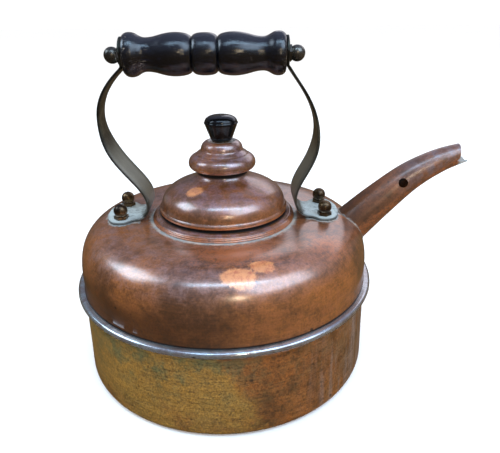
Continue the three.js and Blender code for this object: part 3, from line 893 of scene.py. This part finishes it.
def hex_prism(across, height, chamfer=0.4):
    """A six-sided nut blank with its corners turned down, standing on z = 0, in mm."""
    corner = across / math.sqrt(3)
    rows = []
    turned, flank = corner - chamfer, chamfer * 0.6
    for z, size in ((0, turned), (flank, corner), (height - flank, corner), (height, turned)):
        row = []
        for j in range(6):
            angle = math.pi / 3 * j + 0.3
            row.append(Vector((size * math.cos(angle), size * math.sin(angle), z)))
        rows.append(row)
    vertices = [p for row in rows for p in row]
    faces = grid_faces(4, 6) + [tuple(range(5, -1, -1)), tuple(range(18, 24))]
    return vertices, faces


def ball_nut_mesh(name, hex_size, foot, ball, place):
    """Hex foot, thin collar and ball, put in place by a matrix in mm."""
    vertices, faces = hex_prism(hex_size, foot)
    lift = foot + ball * 0.68
    neck = [(ball * 0.78, foot - 0.2), (ball * 0.84, foot + 0.25), (ball * 0.74, foot + 0.6)]
    line = [(0, foot - 0.2)] + neck + arc((0, lift), ball, -40, 86, 22) + [(0, lift + ball)]
    segments = 40
    start = len(vertices)
    for radius, height in line:
        for j in range(segments):
            angle = 2 * math.pi * j / segments
            vertices.append(Vector((radius * math.cos(angle), radius * math.sin(angle), height)))
    faces += [tuple(start + k for k in face) for face in grid_faces(len(line), segments)]
    mesh = mesh_from(name, [(place @ v) * MM for v in vertices], faces)
    work = bmesh.new()
    work.from_mesh(mesh)
    bmesh.ops.remove_doubles(work, verts=work.verts, dist=1e-7)
    work.to_mesh(mesh)
    work.free()
    return mesh


def make_nuts(material, grip_material):
    """Four ball nuts on the strap feet and two at the ends of the grip."""
    top = PLATE_Z + STRAP_THICK / 2 + 0.1
    names = [("rear_left", -1, -1), ("rear_right", -1, 1), ("front_left", 1, -1), ("front_right", 1, 1)]
    for i, (name, sx, sy) in enumerate(names):
        place = Matrix.Translation((sx * STUD_X, sy * STUD_Y, top)) @ Matrix.Rotation(0.7 * i, 4, "Z")
        mesh = ball_nut_mesh(f"ball_nut_{name}", 8.6, 2.4, 4.65, place)
        set_field(mesh, "crust_and_highlight", lambda p: 0.75 * math.exp(-abs(p.z - top - 3.0) / 0.5))
        replaced = [f"foot_nut_{name}"]
        finish_piece(f"ball_nut_{name}", mesh, material, replaced, "kettle", sharp=45)
    stand = GRIP_HALF + 0.4 + STRAP_THICK
    for name, sign in (("rear", -1), ("front", 1)):
        turn = Matrix.Rotation(sign * math.pi / 2, 4, "Y")
        place = Matrix.Translation((GRIP_X + sign * stand, 0, ROD_Z)) @ turn
        mesh = ball_nut_mesh(f"grip_nut_{name}", 9.6, 1.9, 5.1, place)
        set_field(mesh, "crust_and_highlight", lambda p: 0.6 * math.exp(-abs(abs(p.x - GRIP_X) - stand - 2.4) / 0.6))
        replaced = [f"handle_nut_{name}"]
        finish_piece(f"grip_nut_{name}", mesh, grip_material, replaced, "kettle", sharp=45)


def make_grip(material):
    """The turned grip: a ring in the middle, two bellies, two waists and two flared ends."""
    half = bezier((12.75, 0), (12.75, 4.2), (12.2, 7.0), (10.15, 8.1), 14)
    half += bezier((10.15, 8.1), (13.0, 9.4), (13.6, 18), (12.75, 23), 18)[1:]
    half += bezier((12.75, 23), (12.0, 28.5), (10.2, 31), (10.2, 36.6), 14)[1:]
    half += bezier((10.2, 36.6), (10.2, 40.8), (13.3, 41.6), (13.3, 46.2), 14)[1:]
    half += bezier((13.3, 46.2), (13.3, 48.4), (12.8, 49.6), (11.3, GRIP_HALF), 8)[1:]
    mirrored = [(r, -x) for r, x in half[:0:-1]]
    line = [(2.6, -GRIP_HALF)] + mirrored + half + [(2.6, GRIP_HALF)]
    line = [(r, x + GRIP_X) for r, x in line]

    def uneven(radius, angle, height):
        return fair((height * 0.25, radius * math.cos(angle) * 2, radius * math.sin(angle) * 2), 0.1, 5.0)

    mesh = lathe("grip_turning", line, 128, uneven, axis="X")
    set_field(mesh, "chips", lambda p: 0.35 * ease((abs(p.x - GRIP_X) - 44) / 5))
    for vertex in mesh.vertices:
        vertex.co.z += ROD_Z * MM
    finish_piece("grip_turning", mesh, material, ["grip"], "kettle", sharp=60)


def lid_dents(radius, angle, height):
    """The slow unevenness of the lid's thinner sheet."""
    return fair((radius * math.cos(angle), radius * math.sin(angle), height), 0.14, 16.0, 3.0)


def make_dome(material):
    """The lid's dome, with its rolled edge and the neck under the crown."""
    dome = [
        (42.4, LID_EDGE + 0.3), (43.2, LID_EDGE), (44.1, LID_EDGE + 0.1), (44.7, LID_EDGE + 0.7),
        (44.8, LID_EDGE + 1.6), (44.5, LID_EDGE + 2.4), (43.9, LID_EDGE + 2.8), (43.6, LID_EDGE + 3.0),
        (43.35, LID_EDGE + 3.4), (43.2, LID_EDGE + 4.0),
    ]
    dome += bezier((43.1, LID_EDGE + 4.5), (42.2, 127.5), (30.5, 130.5), (22, 133.4), 50)
    dome += bezier((22, 133.4), (19.2, 134.5), (17.1, 136.2), (16.9, 138.6), 12)[1:] + [(16.9, 139.9)]

    mesh = lathe("lid_dome_skin", dome + offset_line(dome, LID_SHEET)[::-1], 240, lid_dents)

    def dome_crust_and_highlight(p):
        radius = math.hypot(p.x, p.y)
        # Painted highlight: a pale band on the fillet just above the rolled rim.
        ledge_highlight = 0.6 * math.exp(-abs(p.z - (LID_EDGE + 3.5)) / 0.6)
        return max(ledge_highlight, 0.3 * math.exp(-max(radius - 18.5, 0) / 1.5))

    def dome_shadow(p):
        # Painted shadow: near black on the neck under the crown and on the underside of the rolled rim.
        return 0.97 * ease((p.z - 136.9) / 1.0) + 0.9 * ease((LID_EDGE + 0.5 - p.z) / 0.5)

    def dome_bare(p):
        return 4.6 - math.hypot((p.x + 18.0) / 1.25, (p.y + 22.5) / 1.05)

    set_field(mesh, "crust_and_highlight", dome_crust_and_highlight)
    set_field(mesh, "shade_and_soot", dome_shadow)
    # Orange rubbed copper on the rolled rim.
    set_field(mesh, "warm_rub_and_reflection", lambda p: 0.9 * ease((LID_EDGE + 2.3 - p.z) / 0.6))
    # Painted sky sheen: a pale film over the upper dome.
    set_field(mesh, "sky_sheen_and_film", lambda p: 0.75 * ease((p.z - 118) / 8))
    set_field(mesh, "bare", dome_bare)
    finish_piece("lid_dome_skin", mesh, material, ["lid_dome"], "lid")


def make_crown(material):
    """The stepped crown on the dome."""
    crown = [(16.8, 140.3)] + bezier((17.6, 140.3), (20.6, 140.4), (22.9, 141.8), (22.9, 144.5), 16)
    crown += bezier((22.9, 144.5), (22.9, 147.6), (21.0, 149.5), (17.9, 150.5), 14)[1:]
    crown += [(17.55, 150.7), (17.5, 151.2), (17.1, 151.6), (15.6, 152.6), (14.8, 153.2)]
    crown += bezier((14.35, 153.7), (13.9, 157.4), (12.0, 159.4), (9.2, 159.5), 16)
    crown += [(8.6, 159.3), (8.0, 158.85), (5.0, 158.8), (2.4, 158.8)]
    mesh = lathe("lid_crown_skin", crown + offset_line(crown, LID_SHEET)[::-1], 180, lid_dents)

    def crown_crust_and_highlight(p):
        radius = math.hypot(p.x, p.y)
        foot = 0.75 * ease((10.6 - radius) / 1.6) * ease((p.z - 158) / 1)
        # Pale crust round the knob's foot, and a painted highlight along the ridge under the small dome.
        return max(foot, 0.4 * math.exp(-abs(p.z - 152.4) / 0.8))

    def crown_shadow(p):
        # Painted shadow: near black on the crown's underside, over the dome's neck.
        return ease((20.2 - math.hypot(p.x, p.y)) / 1.2) * ease((141.6 - p.z) / 0.6)

    set_field(mesh, "crust_and_highlight", crown_crust_and_highlight)
    set_field(mesh, "shade_and_soot", crown_shadow)
    # Warmer on the lower half of the bulge.
    set_field(mesh, "warm_rub_and_reflection", lambda p: 0.5 * ease((144.5 - p.z) / 2))
    # Painted sky sheen: a pale film over the crown's upper half.
    set_field(mesh, "sky_sheen_and_film", lambda p: 0.9 * ease((p.z - 143) / 4))
    set_field(mesh, "bare", lambda p: NO_BARE_PATCH)
    finish_piece("lid_crown_skin", mesh, material, ["lid_crown"], "lid")


def make_knob(brass, gloss):
    """The pale washer and the black knob on it."""
    washer = rounded([(2.3, 159.1), (6.2, 159.1), (6.2, 159.6), (2.3, 159.6)], 0.15, 3)
    mesh = lathe("knob_seat", washer, 64)
    set_field(mesh, "crust_and_highlight", lambda p: 0.4)
    finish_piece("knob_seat", mesh, brass, ["knob_washer"], "lid")

    knob = [(0, 159.85), (6.4, 159.85), (6.9, 160.0), (7.3, 160.6)]
    knob += bezier((7.45, 161.0), (8.4, 164.0), (10.2, 168.2), (10.9, 170.5), 16)
    knob += [(11.1, 170.8), (11.35, 171.1), (11.4, 171.6), (11.2, 171.9)]
    knob += bezier((11.0, 172.1), (10.4, 175.4), (6.6, 176.7), (0, 176.7), 22)
    mesh = lathe("knob_turning", knob, 96)
    finish_piece("knob_turning", mesh, gloss, ["knob"], "lid", sharp=50)


# ---------------------------------------------------------------- carried-over CAD nodes


def dress_hidden_nodes(copper, brass, dull):
    """Materials for the CAD nodes that are shown as they are."""
    looks = {
        "lid_skirt": copper,
        "whistle_plate_inner": brass,
        "whistle_plate_outer": brass,
        "handle_rod": dull,
        "knob_screw": dull,
    }
    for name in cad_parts:
        if name.startswith("stud_") or name.startswith("seal_"):
            looks[name] = dull
    for name, material in looks.items():
        for slot in bpy.data.objects[name].material_slots:
            slot.material = material


# ---------------------------------------------------------------- stage


def make_floor():
    """A plain pale floor that reflections do not see."""
    reach = 12
    corners = [(-reach, -reach, 0), (reach, -reach, 0), (reach, reach, 0), (-reach, reach, 0)]
    mesh = mesh_from("floor", corners, [(0, 1, 2, 3)])
    floor = bpy.data.objects.new("floor", mesh)
    bpy.context.scene.collection.objects.link(floor)
    tree = Tree("floor_paper")
    tone = tree.noise(tree.place(), 60.0, 3.0)
    tree.set("Base Color", tree.mix(tone, (0.95, 0.95, 0.95), (0.97, 0.97, 0.97)))
    tree.set("Roughness", 0.9)
    tree.set("Specular IOR Level", 0.1)
    mesh.materials.append(tree.material)
    floor.visible_glossy = False


def make_camera():
    """A camera in front of the kettle, a little to the right, looking down on it."""
    yaw, pitch, roll = math.radians(1.452), math.radians(23.74), math.radians(-0.60)
    forward = Vector((math.sin(yaw) * math.cos(pitch), math.cos(yaw) * math.cos(pitch), -math.sin(pitch)))
    level = Vector((math.cos(yaw), -math.sin(yaw), 0))
    upright = level.cross(forward)
    right = level * math.cos(roll) + upright * math.sin(roll)
    up = upright * math.cos(roll) - level * math.sin(roll)
    data = bpy.data.cameras.new("camera")
    data.lens = 34.49
    data.sensor_width = 36.0
    data.clip_start = 0.01
    camera = bpy.data.objects.new("camera", data)
    turn = Matrix((right, up, -forward)).transposed().to_4x4()
    camera.matrix_world = Matrix.Translation(Vector((10.5, -319.0, 235.9)) * MM) @ turn
    bpy.context.scene.collection.objects.link(camera)
    bpy.context.scene.camera = camera


def soft_light(name, azimuth, elevation, width, height, power, colour):
    """A soft box; azimuth 0 is in front of the kettle and 90 is on the spout's side."""
    turn, rise = math.radians(azimuth), math.radians(elevation)
    away = Vector((math.sin(turn) * math.cos(rise), -math.cos(turn) * math.cos(rise), math.sin(rise)))
    data = bpy.data.lights.new(name, "AREA")
    data.shape = "RECTANGLE"
    data.size, data.size_y = width, height
    data.energy = power
    data.color = colour
    light = bpy.data.objects.new(name, data)
    light.location = Vector((0, 0, 0.1)) + away * LIGHT_DISTANCE
    light.rotation_euler = away.to_track_quat("Z", "Y").to_euler()
    bpy.context.scene.collection.objects.link(light)


def make_lights():
    """Two cool windows, a small warm lamp, a thin sky panel above and a weak light behind."""
    soft_light("window_left", -91, 40, 0.8, 0.7, 10, (0.64, 0.82, 1.0))
    soft_light("window_right", 48, 44, 1.3, 0.9, 14, (0.58, 0.77, 1.0))
    soft_light("warm_lamp", 11, 22, 0.16, 0.1, 2.2, (1.0, 0.82, 0.55))
    soft_light("sky_panel", 4, 66, 1.3, 0.14, 8, (0.5, 0.75, 1.0))
    soft_light("back_panel", 150, 28, 1.6, 0.5, 3, (0.9, 0.9, 1.0))


def make_world():
    """A pale studio. Reflections see a dim room: brown below, cooler and brighter above and right."""
    world = bpy.data.worlds.new("studio")
    bpy.context.scene.world = world
    world.use_nodes = True
    nodes, links = world.node_tree.nodes, world.node_tree.links
    back = nodes["Background"]
    split = nodes.new("ShaderNodeSeparateXYZ")
    links.new(nodes.new("ShaderNodeTexCoord").outputs["Generated"], split.inputs[0])
    rise = nodes.new("ShaderNodeMapRange")
    rise.inputs["From Min"].default_value = -1.0
    links.new(split.outputs["Z"], rise.inputs["Value"])
    ramp = nodes.new("ShaderNodeValToRGB")
    links.new(rise.outputs[0], ramp.inputs[0])
    stops = ramp.color_ramp.elements
    stops[0].position, stops[0].color = 0.0, (0.13, 0.085, 0.04, 1)
    stops[1].position, stops[1].color = 1.0, (0.46, 0.54, 0.84, 1)
    stops.new(0.44).color = (0.19, 0.125, 0.06, 1)
    stops.new(0.54).color = (0.17, 0.14, 0.115, 1)
    stops.new(0.7).color = (0.25, 0.25, 0.3, 1)
    side = nodes.new("ShaderNodeMapRange")
    side.inputs["From Min"].default_value = -0.7
    side.inputs["From Max"].default_value = 0.9
    side.inputs["To Min"].default_value = 0.5
    side.inputs["To Max"].default_value = 1.15
    links.new(split.outputs["X"], side.inputs["Value"])
    scaled = nodes.new("ShaderNodeVectorMath")
    scaled.operation = "SCALE"
    links.new(ramp.outputs[0], scaled.inputs[0])
    links.new(side.outputs[0], scaled.inputs["Scale"])
    rays = nodes.new("ShaderNodeLightPath")
    mix = nodes.new("ShaderNodeMix")
    mix.data_type = "RGBA"
    links.new(rays.outputs["Is Glossy Ray"], mix.inputs[0])
    mix.inputs[6].default_value = (1.07, 1.07, 1.07, 1)
    links.new(scaled.outputs[0], mix.inputs[7])
    links.new(mix.outputs[2], back.inputs["Color"])
    back.inputs["Strength"].default_value = 1.0


def main():
    # The third colour of each copper is its pale film; on upper faces it paints the sky's sheen.
    shell_copper = aged_copper(
        "shell_aged_copper", rgb(168, 97, 35), rgb(94, 52, 19), rgb(132, 106, 104),
        bare=True, coat=0.24,
    )
    pan_copper = aged_copper(
        "pan_aged_copper", rgb(156, 90, 28), rgb(94, 55, 18), rgb(128, 96, 70),
        seed=0.31, dull=0.4, stains=(rgb(164, 124, 50), rgb(88, 100, 66)), coat=0.28, relief=1.7, varnish=0.5,
    )
    seam_metal = aged_copper(
        "seam_aged_copper", rgb(186, 186, 190), rgb(138, 126, 126), rgb(186, 204, 212),
        seed=0.5, dull=0.22, coat=0.14, relief=0.2, metallic=(0.8, 0.9),
    )
    lid_copper = aged_copper(
        "lid_aged_copper", rgb(160, 94, 42), rgb(98, 56, 26), rgb(130, 100, 106),
        seed=0.83, bare=True, coat=0.24,
    )
    spout_copper = aged_copper(
        "spout_aged_copper", rgb(150, 86, 36), rgb(88, 52, 26), rgb(108, 96, 100),
        seed=1.17, dull=0.42, coat=0.3, varnish=0.5,
    )
    strap_metal = dull_metal("strap_worn_plate", (118, 121, 108), (56, 58, 53), edge=(204, 216, 218))
    nut_metal = dull_metal(
        "nut_tarnished_bronze", (118, 92, 62), (48, 38, 30),
        edge=(196, 190, 176), seed=0.4, dull=0.3,
    )
    grip_nut_metal = dull_metal(
        "grip_nut_grey_bronze", (116, 112, 104), (44, 42, 40),
        edge=(200, 204, 202), seed=0.6, dull=0.28,
    )
    solder = dull_metal("solder_line", (200, 188, 170), (140, 116, 98), seed=0.9)
    steel = dull_metal("plain_dull_steel", (128, 124, 118), (80, 76, 72), seed=0.2)

    root_ring = make_spout(spout_copper)
    make_root_seam(root_ring, solder)
    make_shell(shell_copper, root_ring)
    make_pan(pan_copper)
    make_seam(seam_metal)
    make_collar(lid_copper)
    make_strap("handle_strap_rear", -1, strap_metal)
    make_strap("handle_strap_front", 1, strap_metal)
    make_nuts(nut_metal, grip_nut_metal)
    make_grip(black_wood())
    make_dome(lid_copper)
    make_crown(lid_copper)
    make_knob(nut_metal, black_gloss())
    dress_hidden_nodes(lid_copper, nut_metal, steel)
    make_floor()
    make_camera()
    make_lights()
    make_world()
    bpy.context.scene.view_settings.view_transform = "Standard"


main()
